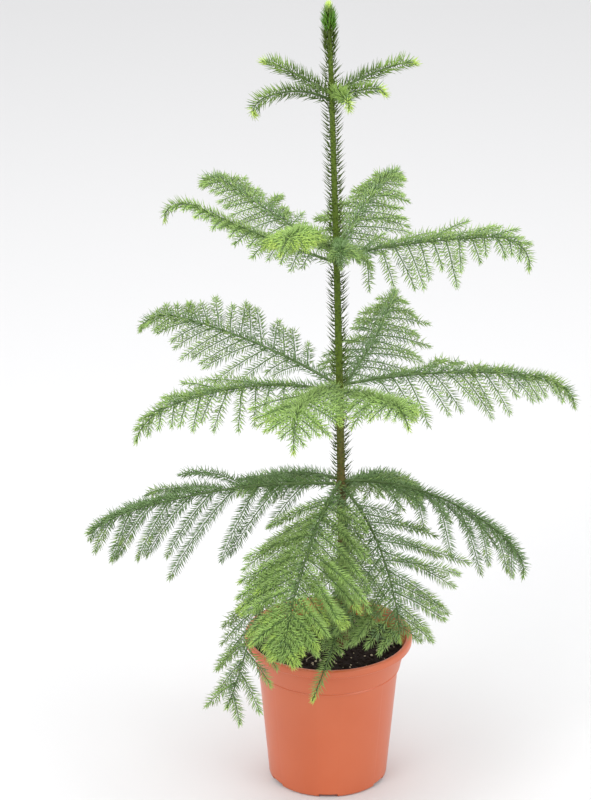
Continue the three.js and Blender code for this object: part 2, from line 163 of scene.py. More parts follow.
def pot_surface():
    """The profile turned about the middle line. Where a drain notch is, what lies outside the drain's
    inner radius is raised to its height; the columns crowd at its two sides to make them upright."""
    profile = rounded(POT_PROFILE)
    middles = DRAIN_FIRST + np.arange(DRAIN_COUNT) * 360 / DRAIN_COUNT
    edges = (middles[:, None] + DRAIN_HALF_ANGLE * np.array([-1, 1])).ravel()
    sides = (edges[:, None] + DRAIN_SIDE * np.array([-1, 1])).ravel() % 360
    angle = np.sort(np.concatenate([np.arange(POT_COLUMNS) * 360 / POT_COLUMNS, sides]))
    off = np.abs((angle[:, None] - middles + 180) % 360 - 180).min(1)
    notched = (off < DRAIN_HALF_ANGLE)[None, :] & (profile[:, :1] > DRAIN_INSIDE)
    radius = np.repeat(profile[:, :1], len(angle), 1)
    height = np.repeat(profile[:, 1:], len(angle), 1)
    height = np.where(notched, np.maximum(height, DRAIN_HEIGHT), height)
    turn = np.radians(angle)
    points = np.stack([radius * np.cos(turn), radius * np.sin(turn), height], -1)
    return points.reshape(-1, 3), ring_faces(len(profile), len(angle))


# Moulded polypropylene: a satin skin that greys a little where it was handled, with a very fine
# mould grain, drawn at 2 mm so that it shows, and soft gloss that turns pale towards the edges.
# On a colour mix these number the inputs for its factor and its two colours, and its output.
FACTOR, FIRST, SECOND, MIXED = 0, 6, 7, 2
plastic, tree, skin, where = start_material("satin_polypropylene", {"IOR": 1.6})
clouds = add_node(tree, "ShaderNodeTexNoise", {"Scale": 1 / (70 * MM), "Detail": 4.0},
                  {"Vector": (where, "Object")})
grain = add_node(tree, "ShaderNodeTexNoise", {"Scale": 1 / (2 * MM), "Detail": 2.0},
                 {"Vector": (where, "Object")})
tint = add_node(tree, "ShaderNodeMix", {FIRST: linear("#c45b2f"), SECOND: linear("#ce6b42")},
                {FACTOR: (clouds, "Fac")}, data_type="RGBA")
gloss = add_node(tree, "ShaderNodeMapRange", {"To Min": 0.3, "To Max": 0.42}, {"Value": (clouds, "Fac")})
relief = add_node(tree, "ShaderNodeBump", {"Strength": 0.06, "Distance": 0.4 * MM},
                  {"Height": (grain, "Fac")})
tree.links.new(tint.outputs[MIXED], skin.inputs["Base Color"])
tree.links.new(gloss.outputs["Result"], skin.inputs["Roughness"])
tree.links.new(relief.outputs["Normal"], skin.inputs["Normal"])

pot_points, pot_faces = pot_surface()
add_piece("nursery_pot", pot_points, [pot_faces], plastic, ["pot"],
          weld=True, crease=POT_CREASE)


# The soil: dark peat compost that fills the pot to below its lip and heaps a little round the trunk.
# Loose crumbs of peat, a few pale grains of perlite and stray fibres lie on it.
SOIL_HEIGHT = round(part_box("soil")[1][2] / MM, 1)
SOIL_RADIUS = 91.6
SOIL_SIDE = np.array([(SOIL_RADIUS, 168), (86.0, 150), (71.6, 12), (67, 5.5), (62.5, 2.6), (0, 2.6)])
SOIL_ROWS = 70
SOIL_COLUMNS = 220
TRUNK_FOOT_X = 18.5
HEAP_HEIGHT = 2.5
HEAP_RADIUS = 18
WAVES = 36
WAVE_LENGTHS = np.geomspace(5, 60, WAVES)
WAVE_SLIMNESS = 40
WAVE_SHARE = 0.32
SCATTER_EDGE = 0.97
SCATTER_STEP = 30
ICOSAHEDRON_REACH = 1.9
LUMP_REACHES = (0.6, 1.15)
CRUMBS = 1500
CRUMB_SPREAD = (2.2, 0.75)
CRUMB_LEAST = 0.7
CRUMB_FLATNESS = 0.7
PERLITE = 90
PERLITE_SIZES = (0.9, 2.4)
PERLITE_LIFT = (0, 0, 1.2)
PERLITE_FLATNESS = 0.8
FIBRES = 14
FIBRE_POINTS = 9
FIBRE_STEPS = (0.8, 2.2)
# The most that a fibre turns on its way, in radians.
FIBRE_BEND = 1.5
FIBRE_CLEARANCE = 22
FIBRE_EDGE = 0.95
FIBRE_LIFT = 1.0
FIBRE_RADIUS = 0.35
FIBRE_SIDES = 5
rng = np.random.default_rng(5)
wave_turn = rng.uniform(0, 2 * np.pi, WAVES)
wave_shift = rng.uniform(0, 2 * np.pi, WAVES)


def soil_height(x, y):
    """The soil's level, with a low heap round the trunk and waves of 5 to 60 mm in many directions, each
    a fortieth of its length high, added together and brought down to about a third."""
    along = x[..., None] * np.cos(wave_turn) + y[..., None] * np.sin(wave_turn)
    waves = np.sin(2 * np.pi * along / WAVE_LENGTHS + wave_shift) * WAVE_LENGTHS / WAVE_SLIMNESS
    heap = HEAP_HEIGHT * np.exp(-((x - TRUNK_FOOT_X) ** 2 + y ** 2) / HEAP_RADIUS ** 2)
    return SOIL_HEIGHT + waves.sum(-1) * WAVE_SHARE + heap


def soil_surface():
    """Rings round the middle out to the pot's wall at the soil's height, then down its side to the floor."""
    turn = np.arange(SOIL_COLUMNS) * 2 * np.pi / SOIL_COLUMNS
    radius = SOIL_RADIUS * np.linspace(0, 1, SOIL_ROWS)[::-1, None]
    x, y = radius * np.cos(turn), radius * np.sin(turn)
    top = np.stack([x, y, soil_height(x, y)], -1)
    side_radius, side_height = SOIL_SIDE[::-1, :1], SOIL_SIDE[::-1, 1:]
    x, y = side_radius * np.cos(turn), side_radius * np.sin(turn)
    side = np.stack([x, y, np.broadcast_to(side_height, x.shape)], -1)
    points = np.concatenate([side, top])
    return points.reshape(-1, 3), ring_faces(len(points), SOIL_COLUMNS)


def scattered(count, clearance=14):
    """Places on the soil, as many in each part of it as in any other. One that is too near the trunk is
    moved to the other side of the middle."""
    reach = SOIL_RADIUS * SCATTER_EDGE * np.sqrt(rng.uniform(0, 1, count))
    turn = rng.uniform(0, 2 * np.pi, count)
    x, y = reach * np.cos(turn), reach * np.sin(turn)
    near = np.hypot(x - TRUNK_FOOT_X, y) < clearance
    x = np.where(near, -x - SCATTER_STEP, x)
    return np.stack([x, y, soil_height(x, y)], -1)


def lumps(places, sizes, flatness):
    """Uneven lumps: an icosahedron's corners at uneven distances, turned at random about the upright
    and pressed flat."""
    golden = (1 + 5 ** 0.5) / 2
    corner = np.array([(-1, golden, 0), (1, golden, 0), (-1, -golden, 0), (1, -golden, 0),
                       (0, -1, golden), (0, 1, golden), (0, -1, -golden), (0, 1, -golden),
                       (golden, 0, -1), (golden, 0, 1), (-golden, 0, -1), (-golden, 0, 1)])
    corner = corner / ICOSAHEDRON_REACH
    side = np.array([(0, 11, 5), (0, 5, 1), (0, 1, 7), (0, 7, 10), (0, 10, 11), (1, 5, 9), (5, 11, 4),
                     (11, 10, 2), (10, 7, 6), (7, 1, 8), (3, 9, 4), (3, 4, 2), (3, 2, 6), (3, 6, 8),
                     (3, 8, 9), (4, 9, 5), (2, 4, 11), (6, 2, 10), (8, 6, 7), (9, 8, 1)])
    reach = rng.uniform(*LUMP_REACHES, (len(places), len(corner), 1))
    uneven = corner * reach * sizes[:, None, None]
    turn = rng.uniform(0, 2 * np.pi, len(places))[:, None]
    x = uneven[..., 0] * np.cos(turn) - uneven[..., 1] * np.sin(turn)
    y = uneven[..., 0] * np.sin(turn) + uneven[..., 1] * np.cos(turn)
    points = np.stack([x, y, uneven[..., 2] * flatness], -1) + places[:, None]
    faces = side[None] + len(corner) * np.arange(len(places))[:, None, None]
    return points.reshape(-1, 3), faces.reshape(-1, 3)


def fibres():
    """Paths of fibres: even steps from a scattered place, in a heading that turns evenly on the way, drawn
    in where they would leave the soil."""
    start = scattered(FIBRES, FIBRE_CLEARANCE)
    turn = rng.uniform(0, 2 * np.pi, (FIBRES, 1))
    turn = turn + np.linspace(0, 1, FIBRE_POINTS) * rng.uniform(-FIBRE_BEND, FIBRE_BEND, (FIBRES, 1))
    step = rng.uniform(*FIBRE_STEPS, (FIBRES, 1))
    x = start[:, :1] + np.cumsum(step * np.cos(turn), 1)
    y = start[:, 1:2] + np.cumsum(step * np.sin(turn), 1)
    inside = np.minimum(1, SOIL_RADIUS * FIBRE_EDGE / np.hypot(x, y))
    x, y = x * inside, y * inside
    return np.stack([x, y, soil_height(x, y) + FIBRE_LIFT], -1)


def unit(vectors):
    """Each vector at length one."""
    return vectors / np.maximum(np.linalg.norm(vectors, axis=-1, keepdims=True), 1e-9)


def tubes(paths, lefts, radii, sides):
    """Round limbs: about each point of each path, a ring of the given radius in the plane of its left and
    of its up, which is square to the path. The two ends are closed by flat caps."""
    count, rows = paths.shape[:2]
    heading = unit(np.gradient(paths, axis=1))
    up = unit(np.cross(heading, lefts))
    turn = np.arange(sides) * 2 * np.pi / sides
    radii = radii if radii.ndim == 3 else radii[..., None]
    ring = lefts[:, :, None] * np.cos(turn)[:, None] + up[:, :, None] * np.sin(turn)[:, None]
    points = paths[:, :, None] + ring * np.broadcast_to(radii, ring.shape[:3])[..., None]
    first = (np.arange(count) * rows * sides)[:, None, None]
    walls = ring_faces(rows, sides)[None] + first
    caps = np.stack([np.arange(sides)[::-1], np.arange(sides) + (rows - 1) * sides])[None] + first
    return points.reshape(-1, 3), [walls.reshape(-1, 4), caps.reshape(-1, sides)]


# Damp peat: nearly black, crumbly and matt, with browner threads through it at about 4 mm.
peat, tree, skin, where = start_material("damp_peat", {"Roughness": 0.95, "Specular IOR Level": 0.25})
clods = add_node(tree, "ShaderNodeTexNoise", {"Scale": 1 / (4 * MM), "Detail": 6.0, "Roughness": 0.7},
                 {"Vector": (where, "Object")})
tint = add_node(tree, "ShaderNodeMix", {FIRST: linear("#100a08"), SECOND: linear("#2a1d17")},
                {FACTOR: (clods, "Fac")}, data_type="RGBA")
relief = add_node(tree, "ShaderNodeBump", {"Strength": 0.7, "Distance": 1.5 * MM},
                  {"Height": (clods, "Fac")})
tree.links.new(tint.outputs[MIXED], skin.inputs["Base Color"])
tree.links.new(relief.outputs["Normal"], skin.inputs["Normal"])

# Perlite and bits of straw: pale, chalky and porous, stained in patches by the peat.
straw, tree, skin, where = start_material("perlite_and_straw", {"Roughness": 0.85})
stain = add_node(tree, "ShaderNodeTexNoise", {"Scale": 1 / (5 * MM), "Detail": 3.0},
                 {"Vector": (where, "Object")})
tint = add_node(tree, "ShaderNodeMix", {FIRST: linear("#7d6c52"), SECOND: linear("#d0c6ad")},
                {FACTOR: (stain, "Fac")}, data_type="RGBA")
tree.links.new(tint.outputs[MIXED], skin.inputs["Base Color"])

soil_points, soil_faces = soil_surface()
add_piece("peat_bed", soil_points, [soil_faces], peat, ["soil"], weld=True)
crumb_places = scattered(CRUMBS)
crumb_sizes = rng.gamma(*CRUMB_SPREAD, CRUMBS) + CRUMB_LEAST
crumb_points, crumb_faces = lumps(crumb_places, crumb_sizes, CRUMB_FLATNESS)
add_piece("peat_crumbs", crumb_points, [crumb_faces], peat, ["soil"])
grain_places = scattered(PERLITE) + PERLITE_LIFT
grain_sizes = rng.uniform(*PERLITE_SIZES, PERLITE)
grain_points, grain_faces = lumps(grain_places, grain_sizes, PERLITE_FLATNESS)
add_piece("perlite_grains", grain_points, [grain_faces], straw, ["soil"])
fibre_paths = fibres()
fibre_lefts = unit(np.cross((0, 0, 1), np.gradient(fibre_paths, axis=1)))
fibre_radii = np.full((FIBRES, FIBRE_POINTS), FIBRE_RADIUS)
fibre_points, fibre_faces = tubes(fibre_paths, fibre_lefts, fibre_radii, FIBRE_SIDES)
add_piece("straw_fibres", fibre_points, fibre_faces, straw, ["soil"])


# The trunk: one slender leading stem, leaning a little to the left, from the soil to the leader's bud.
# Its young bark is green and keeps the ridged bases of its needles; lower down it turns brown and cracks.
SEAT_GAP = 0.3
TRUNK_FOOT = SOIL_HEIGHT + SEAT_GAP
TRUNK_TOP = 952
LEADER_TOP = 1005
TRUNK_TOP_X = -0.5
TRUNK_BOW = 2.5
TRUNK_LEFT = (0.0, 1.0, 0.0)
TRUNK_RADIUS_LOW = 5.8
TRUNK_RADIUS_HIGH = 2.8
LEADER_TIP_RADIUS = 0.9
ROOT_FLARE = 0.55
ROOT_FLARE_HEIGHT = 22
TRUNK_BURIED = 6
TRUNK_ROWS = 640
TRUNK_COLUMNS = 28
WHORL_HEIGHTS = {"lowest": 372, "lower": 397, "middle": 524, "upper": 692, "top": 895}
SWELLING = 1.2
SWELLING_SPAN = 7
CUSHION_PITCH = 11
CUSHION_RANKS = (5, 3)
CUSHION_HEIGHT = 0.45
CUSHION_WORN = 0.6
BROWN_BELOW = 520
BROWN_SPAN = 180
CRACK_DEPTH = 0.3
# Ridges and breaks of the cracks round the trunk, and their turn with the height in radians a millimetre.
CRACK_RIDGES, CRACK_BREAKS = 7, 3
RIDGE_LEAN, RIDGE_WANDER, BREAK_CLIMB = 0.05, 0.11, 0.21


def trunk_point(z):
    """The trunk's middle line: a straight lean with a slight bow, as half a sine wave, to the right."""
    t = (z - TRUNK_FOOT) / (TRUNK_TOP - TRUNK_FOOT)
    x = TRUNK_FOOT_X + (TRUNK_TOP_X - TRUNK_FOOT_X) * t + TRUNK_BOW * np.sin(np.pi * t)
    return np.stack([x, np.zeros_like(x), z], -1)


def trunk_radius(z):
    """An even taper, widened near the soil by a flare that dies away upwards; the leader runs to a tip."""
    t = (z - TRUNK_FOOT) / (TRUNK_TOP - TRUNK_FOOT)
    flare = 1 + ROOT_FLARE * np.exp(-(z - TRUNK_FOOT) / ROOT_FLARE_HEIGHT)
    even = (TRUNK_RADIUS_LOW + (TRUNK_RADIUS_HIGH - TRUNK_RADIUS_LOW) * t) * flare
    leader = np.clip((z - TRUNK_TOP) / (LEADER_TOP - TRUNK_TOP), 0, 1)
    return even + (LEADER_TIP_RADIUS - TRUNK_RADIUS_HIGH) * leader


def trunk_surface():
    """Rings about the middle line. Two crossing helices of ridges give the needle bases, waves that run
    up the trunk give the cracks of the brown part, and a swelling rises at each whorl of boughs."""
    z = np.linspace(TRUNK_FOOT - TRUNK_BURIED, LEADER_TOP, TRUNK_ROWS)
    turn = np.arange(TRUNK_COLUMNS) * 2 * np.pi / TRUNK_COLUMNS
    height, angle = z[:, None], turn[None]
    climb = 2 * np.pi * height / CUSHION_PITCH
    rising = np.maximum(0, np.cos(CUSHION_RANKS[0] * angle - climb))
    falling = np.maximum(0, np.cos(CUSHION_RANKS[1] * angle + climb))
    cushions = rising * falling
    brown = np.clip((BROWN_BELOW - height) / BROWN_SPAN, 0, 1)
    ridges = np.sin(CRACK_RIDGES * angle + RIDGE_LEAN * height + np.sin(RIDGE_WANDER * height))
    cracks = ridges * np.sin(BREAK_CLIMB * height + CRACK_BREAKS * angle)
    swell = sum(np.exp(-((height - level) / SWELLING_SPAN) ** 2) for level in WHORL_HEIGHTS.values())
    bumps = CUSHION_HEIGHT * cushions * (1 - CUSHION_WORN * brown) + CRACK_DEPTH * brown * cracks
    bumps = bumps + SWELLING * swell
    radius = trunk_radius(np.maximum(z, TRUNK_FOOT))[:, None] + bumps
    path = trunk_point(z)[None]
    return tubes(path, np.broadcast_to(TRUNK_LEFT, path.shape), radius[None], TRUNK_COLUMNS)


# Young bark: half matt, flecked at about 6 mm, olive green above and brown below about half a metre.
bark, tree, skin, where = start_material("young_bark", {"Roughness": 0.72})
place = add_node(tree, "ShaderNodeSeparateXYZ", links={"Vector": (where, "Object")})
flecks = add_node(tree, "ShaderNodeTexNoise", {"Scale": 1 / (6 * MM), "Detail": 5.0, "Roughness": 0.65},
                  {"Vector": (where, "Object")})
ragged = add_node(tree, "ShaderNodeMath", {1: 120 * MM}, {0: (flecks, "Fac")}, operation="MULTIPLY")
level = add_node(tree, "ShaderNodeMath", links={0: (place, "Z"), 1: (ragged, "Value")}, operation="ADD")
age = add_node(tree, "ShaderNodeMapRange", {"From Min": 380 * MM, "From Max": 620 * MM},
               {"Value": (level, "Value")})
green = add_node(tree, "ShaderNodeMix", {FIRST: linear("#40540c"), SECOND: linear("#647b16")},
                 {FACTOR: (flecks, "Fac")}, data_type="RGBA")
brown = add_node(tree, "ShaderNodeMix", {FIRST: linear("#42291a"), SECOND: linear("#7a5536")},
                 {FACTOR: (flecks, "Fac")}, data_type="RGBA")
tint = add_node(tree, "ShaderNodeMix", data_type="RGBA",
                links={FACTOR: (age, "Result"), FIRST: (brown, MIXED), SECOND: (green, MIXED)})
relief = add_node(tree, "ShaderNodeBump", {"Strength": 0.4, "Distance": 0.5 * MM},
                  {"Height": (flecks, "Fac")})
tree.links.new(tint.outputs[MIXED], skin.inputs["Base Color"])
tree.links.new(relief.outputs["Normal"], skin.inputs["Normal"])

trunk_points, trunk_faces = trunk_surface()
add_piece("trunk_bark", trunk_points, trunk_faces, bark, ["trunk"])


# The boughs: green limbs that leave the trunk in whorls, bare for a few centimetres, and then bear the
# fronds. The top whorl is this season's: short shoots with needles and no side twigs yet.
CURL_START = 0.72
PATH_STEPS = 24
FINE_STEPS = 4 * PATH_STEPS
WHORL_STAGGER = 4
KNUCKLE = 0.5
KNUCKLE_LENGTH = 6
ROOT_INSIDE = 2
TIP_RADIUS = 0.7
RIDGE_HEIGHT = 0.14
RIDGE_RANKS = 3
RIDGE_PITCH = 7
STEM_ROWS = 110
STEM_SIDES = 8
# azimuth is counted anticlockwise from +X, seen from above. rise is a bough's angle above the level at the
# trunk, droop what it loses along its length, curl what its end bends down beyond that, sweep its turn to
# the left, and perch how far above the others of its whorl it leaves. lift raises both ranks of its twigs,
# roll raises the left one and lowers the right one, spread opens them, and left_give and right_give let
# them cross the half-way plane to a neighbour. youth is how fresh its green is, together with
# painted light that makes the fronds facing the light fresher and painted shade that darkens the fronds in
# shadow, and ripe what that gains to its end; dense is how closely its needles stand, and flat how far
# they are drawn to a twig's flanks.
PLAIN_BOUGH = dict(curl=0, sweep=0, perch=0, lift=0, roll=0, spread=0, left_give=0, right_give=0,
                   youth=0, ripe=0.25, dense=1.22, flat=0.45)
# For all boughs of a whorl, or for one of them: gaps are the steps between twigs at the trunk and at the
# end, reach is the longest twig, sag how the twigs hang, taper how they shorten towards the end, and base
# the share of their reach at the trunk. twig_droop is their slant below the frond, radius a bough's own
# at the trunk, and bare the length of it that has no twigs.
# The boughs' green steps below hold painted light and shade as well as age: fronds that face the light are
# given fresher greens, and fronds in shadow, such as the lower whorl's hanging ones and the upper whorl's at
# 271 degrees, darker ones.
WHORLS = [
    dict(name="lowest", radius=1.6, bare=50, gaps=(8, 6.5), reach=72, twig_droop=20, sag=0.6, taper=2.2,
         base=0.4, boughs=[
        dict(azimuth=282, length=270, rise=-36, droop=4, curl=10, sweep=-46, youth=0.05),
    ]),
    dict(name="lower", radius=2.1, bare=32, gaps=(9, 7.5), reach=112, twig_droop=20, sag=0.9, taper=0.85,
         base=0.4, boughs=[
        dict(azimuth=184, length=316, rise=4, droop=26, curl=18, perch=-4, lift=-5, roll=-30, spread=-14,
             left_give=24, gaps=(15, 11), reach=126, sag=0.65, base=0.3, youth=-0.32, dense=1.8),
        dict(azimuth=232, length=312, rise=-12, droop=60, curl=-28, sweep=6, perch=-10, lift=4, roll=6,
             left_give=20, gaps=(8, 15), reach=106, sag=0.5, taper=0.55, base=0.1, youth=-0.15, dense=1.45,
             flat=0.1),
        dict(azimuth=254, length=294, rise=0, droop=46, curl=25, lift=14, left_give=34, right_give=60,
             gaps=(6.5, 3.6), reach=106, sag=0.5, taper=0.75, youth=-0.03, ripe=0.52, dense=1.85, flat=0.25),
        dict(azimuth=298, length=236, rise=-8, droop=42, curl=36, sweep=-18, lift=14, roll=14, left_give=55,
             right_give=40, gaps=(8, 6.5), reach=142, sag=0.3, base=0.15, youth=-0.16, dense=1.6, flat=0.25),
        dict(azimuth=346, length=272, rise=9, droop=61, curl=48, spread=-10, right_give=4, gaps=(16, 11),
             reach=112, taper=1.25, youth=-0.32, dense=1.5),
        dict(azimuth=62, length=236, rise=-7, droop=34, reach=62, youth=-0.1, dense=1.5),
        dict(azimuth=126, length=250, rise=-10, droop=28, reach=46, youth=-0.2, dense=1.5),
    ]),
    dict(name="middle", radius=2.0, bare=28, gaps=(8.5, 6.5), reach=86, twig_droop=14, sag=0.35, taper=1.0,
         base=0.4, boughs=[
        dict(azimuth=149, length=300, rise=19, droop=23, curl=70, lift=20, roll=-22, youth=-0.1),
        dict(azimuth=207, length=288, rise=23, droop=42, curl=60, roll=-8, gaps=(10, 8), flat=0.2),
        dict(azimuth=251, length=312, rise=20, droop=12, curl=75, sweep=17, left_give=26, gaps=(10, 7.5),
             reach=94, base=0.6, youth=0.15, flat=0.15),
        dict(azimuth=288, length=258, rise=23, droop=11, curl=62, gaps=(10, 7.5), youth=0.15, flat=0.15),
        dict(azimuth=2, length=304, rise=12, droop=26, curl=76, roll=8, reach=76, sag=0.5, youth=-0.08),
        dict(azimuth=69, length=300, rise=5, droop=3, curl=10, sweep=14, gaps=(9.5, 7.5), reach=98,
             youth=-0.1),
    ]),
    dict(name="upper", radius=1.8, bare=24, gaps=(6.8, 5), reach=62, twig_droop=14, sag=0.3, taper=1.0,
         base=0.6, boughs=[
        dict(azimuth=134, length=262, rise=12, droop=4, curl=75, sweep=-7, lift=6, roll=-12),
        dict(azimuth=190, length=233, rise=22, droop=-9, curl=140, sweep=-8, roll=2, left_give=28, reach=50,
             youth=0.05),
        dict(azimuth=253, length=250, rise=44, droop=40, curl=42, left_give=10, gaps=(5, 4), reach=76,
             sag=0.6, base=0.9, youth=0.2, ripe=0.35, dense=1.4, flat=0.15),
        # Painted shade: this frond lies in shadow, so its needles take a darker green.
        dict(azimuth=271, length=200, rise=44, droop=42, curl=45, reach=56, sag=0.6, base=0.8, youth=-0.45,
             ripe=0.6, dense=1.5, flat=0.15),
        dict(azimuth=332, length=284, rise=21, droop=10, curl=122, sweep=-6, roll=24, right_give=34,
             gaps=(9.5, 8), reach=74, youth=0.02),
        dict(azimuth=78, length=262, rise=12, droop=6, curl=60, sweep=-14, reach=76),
    ]),
    dict(name="top", radius=1.7, bare=0, gaps=None, reach=0, sag=0, taper=1, base=0, boughs=[
        dict(azimuth=142, length=103, rise=16, droop=8, curl=25, youth=-4.4),
        dict(azimuth=200, length=111, rise=34, droop=68, curl=90, youth=-4.4),
        dict(azimuth=283, length=90, rise=25, droop=30, curl=50, youth=-3.2),
        dict(azimuth=322, length=82, rise=34, droop=24, curl=65, youth=-4.0),
        dict(azimuth=30, length=116, rise=20, droop=18, curl=32, youth=-4.4),
    ]),
]
for whorl in WHORLS:
    shared = {key: whorl[key] for key in ("gaps", "reach", "sag", "taper", "base")}
    whorl["boughs"] = [{**PLAIN_BOUGH, **shared, **bough} for bough in whorl["boughs"]]


def heading_at(bough, t):
    """The unit heading at shares t of a bough: its rise less its droop and its curl, at its azimuth."""
    curled = np.maximum(0, (t - CURL_START) / (1 - CURL_START))
    rise = np.radians(bough["rise"] - bough["droop"] * t - bough["curl"] * curled ** 2)
    azimuth = np.radians(bough["azimuth"] + bough["sweep"] * t)
    return np.stack([np.cos(rise) * np.cos(azimuth), np.cos(rise) * np.sin(azimuth), np.sin(rise)], -1)


def left_at(bough, t):
    """The level direction to the left of a bough's heading at shares t."""
    azimuth = np.radians(bough["azimuth"] + bough["sweep"] * t)
    return np.stack([-np.sin(azimuth), np.cos(azimuth), np.zeros_like(azimuth)], -1)


def bough_path(whorl, number):
    """A bough's points: from the trunk's side, the sum of short steps along its heading."""
    bough = whorl["boughs"][number]
    stagger = -WHORL_STAGGER if number % 2 else WHORL_STAGGER
    level = np.array(WHORL_HEIGHTS[whorl["name"]] + bough["perch"] + stagger, float)
    out = unit(heading_at(bough, np.array(0.0)) * (1, 1, 0))
    start = trunk_point(level) + out * (trunk_radius(level) + SEAT_GAP)
    steps = heading_at(bough, (np.arange(PATH_STEPS) + 0.5) / PATH_STEPS) * bough["length"] / PATH_STEPS
    return np.concatenate([start[None], start + np.cumsum(steps, 0)])


def on_path(path, t):
    """Points at shares t of a path of even steps, in a straight line between its own points."""
    place = np.clip(t, 0, 1) * (len(path) - 1)
    low = np.minimum(place.astype(int), len(path) - 2)
    part = (place - low)[..., None]
    return path[low] * (1 - part) + path[low + 1] * part


def limb_radius(whorl, t):
    """A bough's radius at shares t: an even taper from its whorl's radius to the tip's."""
    return whorl["radius"] + (TIP_RADIUS - whorl["radius"]) * t


def stem_tube(whorl, number):
    """A bough from inside the trunk to its tip: an even taper, thicker at its knuckle, with small ridges
    of needle bases that wind round it."""
    bough, path = whorl["boughs"][number], bough_path(whorl, number)
    t = np.linspace(0, 1, STEM_ROWS)
    points = on_path(path, t)
    root = 2 * points[0] - points[1]
    points = np.concatenate([root[None] - ROOT_INSIDE * heading_at(bough, np.array(0.0)), points])
    t = np.concatenate([[0], t])
    along = t * bough["length"]
    turn = np.arange(STEM_SIDES) * 2 * np.pi / STEM_SIDES
    ridges = RIDGE_HEIGHT * np.cos(RIDGE_RANKS * turn[None] - 2 * np.pi * along[:, None] / RIDGE_PITCH)
    knuckle = KNUCKLE * np.exp(-along / KNUCKLE_LENGTH)
    radius = limb_radius(whorl, t)[:, None] + ridges + knuckle[:, None]
    return tubes(points[None], left_at(bough, t)[None], radius[None], STEM_SIDES)


def joined(parts):
    """Several meshes as one: their points in a row, and their faces renumbered to match."""
    offsets = np.cumsum([0] + [len(points) for points, _ in parts])
    sizes = sorted({face.shape[1] for _, faces in parts for face in faces})
    faces = [np.concatenate([face + first for first, (_, several) in zip(offsets, parts)
                             for face in several if face.shape[1] == size]) for size in sizes]
    return np.concatenate([points for points, _ in parts]), faces


# Green bough skin: smooth, thin and waxy, paler in flecks of about 9 mm.
bough_skin, tree, skin, where = start_material("green_bough_skin", {"Roughness": 0.6})
flecks = add_node(tree, "ShaderNodeTexNoise", {"Scale": 1 / (9 * MM), "Detail": 4.0},
                  {"Vector": (where, "Object")})
tint = add_node(tree, "ShaderNodeMix", {FIRST: linear("#43582d"), SECOND: linear("#5f7941")},
                {FACTOR: (flecks, "Fac")}, data_type="RGBA")
relief = add_node(tree, "ShaderNodeBump", {"Strength": 0.3, "Distance": 0.3 * MM},
                  {"Height": (flecks, "Fac")})
tree.links.new(tint.outputs[MIXED], skin.inputs["Base Color"])
tree.links.new(relief.outputs["Normal"], skin.inputs["Normal"])

stems = [stem_tube(whorl, number) for whorl in WHORLS for number in range(len(whorl["boughs"]))]
stem_points, stem_faces = joined(stems)
leafy = [whorl for whorl in WHORLS if whorl["gaps"]]
bough_nodes = [f"{whorl['name']}_bough_{i + 1}" for whorl in leafy for i in range(len(whorl["boughs"]))]
add_piece("boughs", stem_points, stem_faces, bough_skin, bough_nodes)


# The twigs: two ranks of thin green side twigs that make each bough a frond. The lower fronds' twigs are
# older and hang. A twig that would leave its bough's own space is shorter, or left out.
TWIG_SPREAD = (66, 48)
TWIG_JITTER = 11
BASE_GAIN = 2.0
MOST_TWIGS = 200
FIRST_TWIG = 6
LAST_TWIG = 0.97
SHORTEST_TWIG = 12
LEAST_SHARE = 0.76
SHARE_RANGE = 0.36
TRIED_SHARES = np.arange(10, 0, -1) / 10
TRIED_POINTS = np.array([0.3, 0.5, 0.75, 1])
SPACE_MARGIN = 11
POT_CLEARANCE = 20
TWIG_STEPS = 12
TWIG_SIDES = 5
TWIG_ROOT_RADIUS = 1.0
TWIG_TIP_RADIUS = 0.5
NEEDLES_AT_FOOT = 0.75
NEEDLE_LENGTHS = dict(lowest=12.0, lower=11.5, middle=11.5, upper=11.0)
# What a repeatable chance is drawn for, and how far apart the whorls' seeds for it lie.
FOR_SPREAD, FOR_SLANT, FOR_LENGTH = 3, 4, 5
WHORL_SEED = 10


def chance(bough, twig, purpose):
    """A repeatable number from 0 to 1 for a bough, a twig and a purpose: what is left past the whole
    numbers of a very tall sine wave."""
    wave = np.sin(bough * 12.9898 + twig * 78.233 + purpose * 37.719) * 43758.5453
    return wave - np.floor(wave)


def fences_of(whorl, bough):
    """The upright planes half way to the boughs on either side: their inward normals and margins."""
    turns = [(other["azimuth"] - bough["azimuth"]) % 360 for other in whorl["boughs"]]
    turns = [turn for turn in turns if turn > 0]
    if not turns:
        return np.zeros((0, 3)), np.zeros(0)
    left = np.radians(bough["azimuth"] + min(turns) / 2 - 90)
    right = np.radians(bough["azimuth"] + max(turns) / 2 + 180 + 90)
    normals = np.array([(np.cos(left), np.sin(left), 0), (np.cos(right), np.sin(right), 0)])
    return normals, SPACE_MARGIN - np.array([bough["left_give"], bough["right_give"]])


def twig_points(roots, directions, lengths, sag, t):
    """Points of twigs at shares t: straight on, less a drop that grows with the square of the way."""
    run = lengths[:, None, None] * t[None, :, None]
    drop = 0.5 * sag * lengths[:, None] * t[None] ** 2
    return roots[:, None] + directions[:, None] * run - drop[..., None] * (0, 0, 1)


